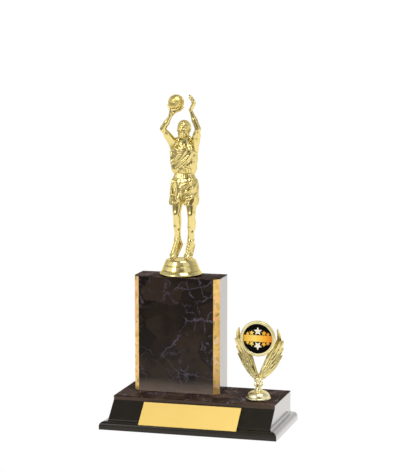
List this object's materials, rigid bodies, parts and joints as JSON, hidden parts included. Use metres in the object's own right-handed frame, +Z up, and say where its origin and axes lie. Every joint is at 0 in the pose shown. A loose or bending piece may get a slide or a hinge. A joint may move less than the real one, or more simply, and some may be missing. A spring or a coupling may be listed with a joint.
{
  "type": "column trophy",
  "caption": "Column trophy with a metallised basketball player on a marble-look column, a moulded base, a winged disc holder and a blank engraving plate.",
  "frame": {"origin": "centre of the base's footprint, on the surface it stands on", "axes": "+Z up; the engraving plate and the player face -Y; +X is towards the disc holder's side"},
  "size_m": [0.154, 0.08, 0.2809],
  "materials": {
    "board": "sawn fibreboard",
    "marble_laminate": "glossy black-brown marble print",
    "gloss_black": "high gloss",
    "felt": "short nap felt",
    "gold_flake": "gold prismatic flake foil",
    "zinc_steel": "zinc plated",
    "brass_insert": "turned",
    "gold_plastic": "vacuum metallised, pale gold",
    "disc_black": "gloss",
    "gold_print": "raised gold foil",
    "gold_aluminium": "gold anodised, fine satin",
    "foam_tape": "matt foam"
  },
  "bodies": {
    "root": {"base_core": "board", "base_top_laminate": "marble_laminate", "base_side_left": "gloss_black", "base_side_right": "gloss_black", "front_moulding": "gloss_black", "side_bead_left": "gloss_black", "side_bead_right": "gloss_black", "base_felt": "felt", "column_core": "board", "column_front_laminate": "marble_laminate", "column_side_left": "gloss_black", "column_side_right": "gloss_black", "column_top_laminate": "marble_laminate", "gold_strip_left": "gold_flake", "gold_strip_right": "gold_flake", "tie_rod": "zinc_steel", "tie_nut": "zinc_steel", "tie_washer": "zinc_steel", "figure_insert": "brass_insert", "figure_base": "gold_plastic", "player": "gold_plastic", "basketball": "gold_plastic", "holder_screw": "zinc_steel", "holder_washer": "zinc_steel", "holder_foot": "gold_plastic", "holder_stem": "gold_plastic", "wing_left": "gold_plastic", "wing_right": "gold_plastic", "disc_ring": "gold_plastic", "disc": "disc_black", "disc_band": "gold_print", "disc_stars": "gold_print", "engraving_plate": "gold_aluminium", "plate_tape": "foam_tape"}
  },
  "joints": []
}
